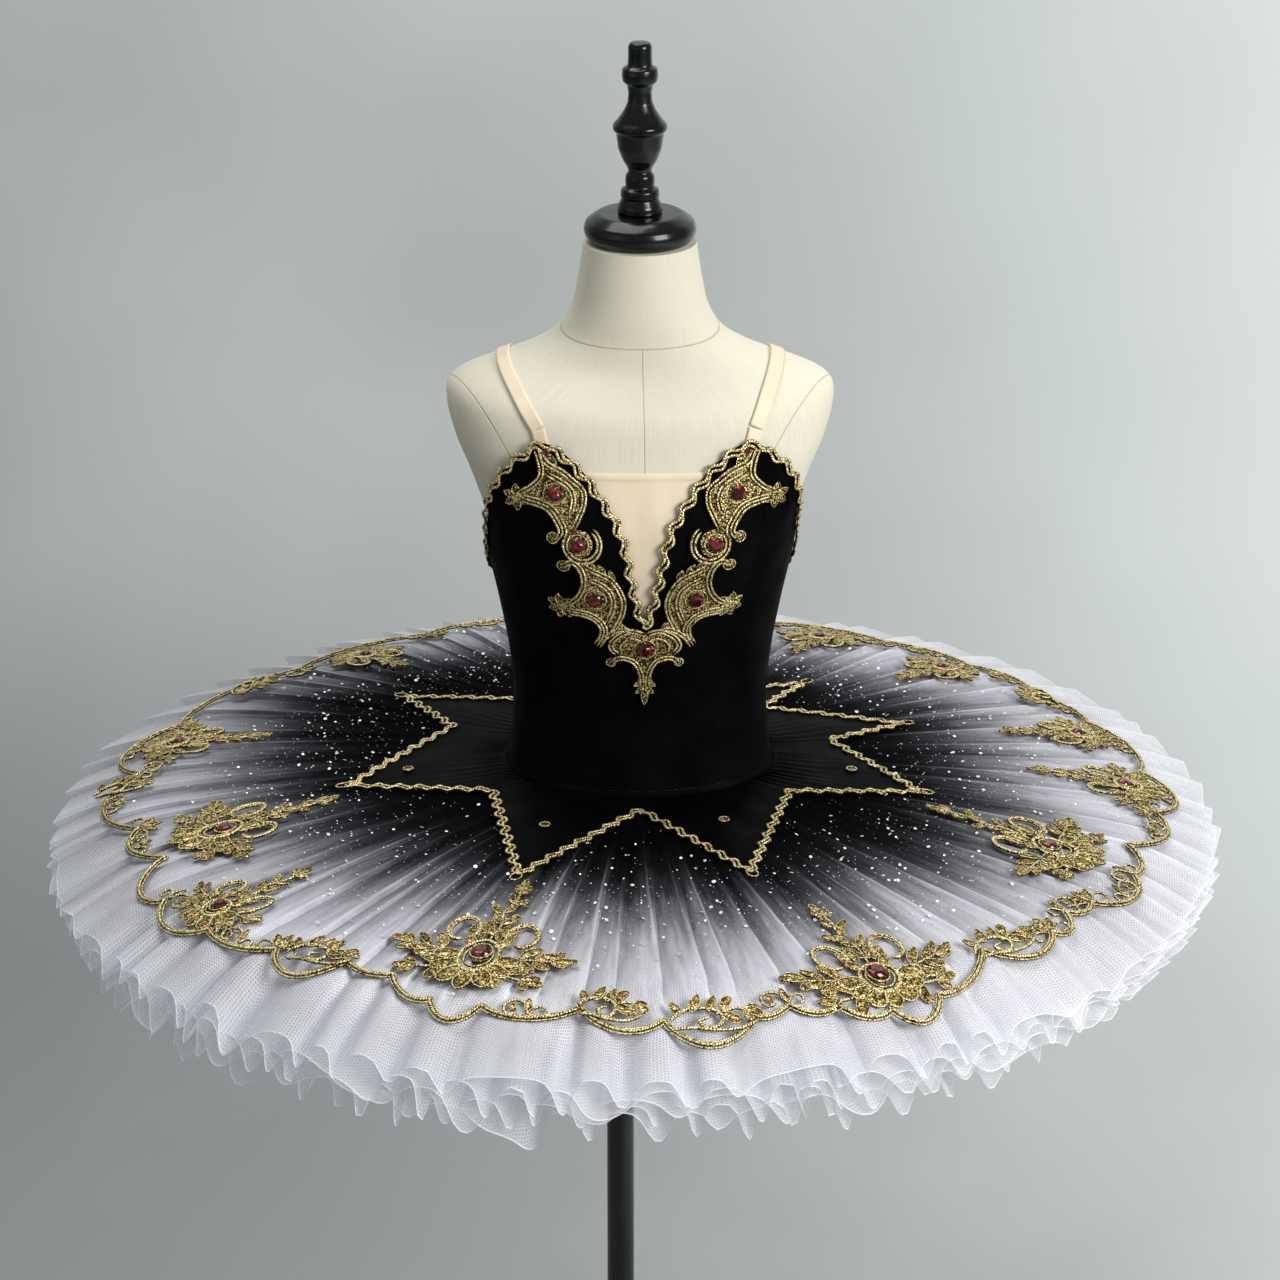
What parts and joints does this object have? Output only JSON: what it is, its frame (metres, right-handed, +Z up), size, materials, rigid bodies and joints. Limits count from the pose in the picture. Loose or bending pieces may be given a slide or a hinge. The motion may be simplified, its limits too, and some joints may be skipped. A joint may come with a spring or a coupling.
{
  "type": "ballet tutu on a dress form and stand",
  "caption": "Classical pancake tutu with a boned velvet bodice, gold appliques and a wide ombre net skirt, worn by a linen dress form on a pole and round base.",
  "frame": {"origin": "centre of the stand base's flat underside, on the pole's axis", "axes": "+Z up along the pole, the garment's front faces -Y, +X is to the right of someone looking at the front; metres"},
  "size_m": [1.0444, 1.0445, 1.5925],
  "materials": {
    "black_lacquer": "gloss black lacquer on turned wood",
    "cream_linen": "cream linen over a padded form",
    "black_velvet": "matt black stretch velvet",
    "black_satin": "soft black satin",
    "beige_satin": "smooth beige cloth",
    "ombre_net": "stiff net dyed black to white, with silver dots",
    "white_net": "stiff white net",
    "gold_thread": "gold metal thread, corded and braided",
    "garnet_glass": "faceted dark red stone in resin"
  },
  "bodies": {
    "root": {"applique_centre": "gold_thread", "applique_lower_left": "gold_thread", "applique_lower_right": "gold_thread", "applique_middle_left": "gold_thread", "applique_middle_right": "gold_thread", "applique_upper_left": "gold_thread", "applique_upper_right": "gold_thread", "bodice_back_left": "black_velvet", "bodice_back_right": "black_velvet", "bodice_front": "black_velvet", "bodice_side_back_left": "black_velvet", "bodice_side_back_right": "black_velvet", "bodice_side_front_left": "black_velvet", "bodice_side_front_right": "black_velvet", "border_cord": "gold_thread", "border_leaf_front": "gold_thread", "border_motif_01": "gold_thread", "border_motif_02": "gold_thread", "border_motif_03": "gold_thread", "border_motif_04": "gold_thread", "border_motif_05": "gold_thread", "border_motif_06": "gold_thread", "border_motif_07": "gold_thread", "border_motif_08": "gold_thread", "border_motif_09": "gold_thread", "border_motif_10": "gold_thread", "border_motif_11": "gold_thread", "border_motif_12": "gold_thread", "border_scroll_1": "gold_thread", "border_scroll_2": "gold_thread", "border_scroll_3": "gold_thread", "border_scroll_4": "gold_thread", "border_scroll_5": "gold_thread", "border_scroll_6": "gold_thread", "form_finial": "black_lacquer", "form_neck_cap": "black_lacquer", "form_torso": "cream_linen", "hip_yoke": "black_velvet", "modesty_panel": "beige_satin", "neckline_braid": "gold_thread", "net_layer_2": "white_net", "net_layer_3": "white_net", "net_layer_4": "white_net", "net_layer_5": "white_net", "net_layer_top": "ombre_net", "stand_base": "black_lacquer", "stand_pole": "black_lacquer", "star_braid": "gold_thread", "star_overlay": "black_satin", "stone_centre": "garnet_glass", "stone_lower_left": "garnet_glass", "stone_lower_right": "garnet_glass", "stone_middle_left": "garnet_glass", "stone_middle_right": "garnet_glass", "stone_upper_left": "garnet_glass", "stone_upper_right": "garnet_glass", "strap_left": "beige_satin", "strap_right": "beige_satin", "strap_tab_left": "beige_satin", "strap_tab_right": "beige_satin"}
  },
  "joints": []
}
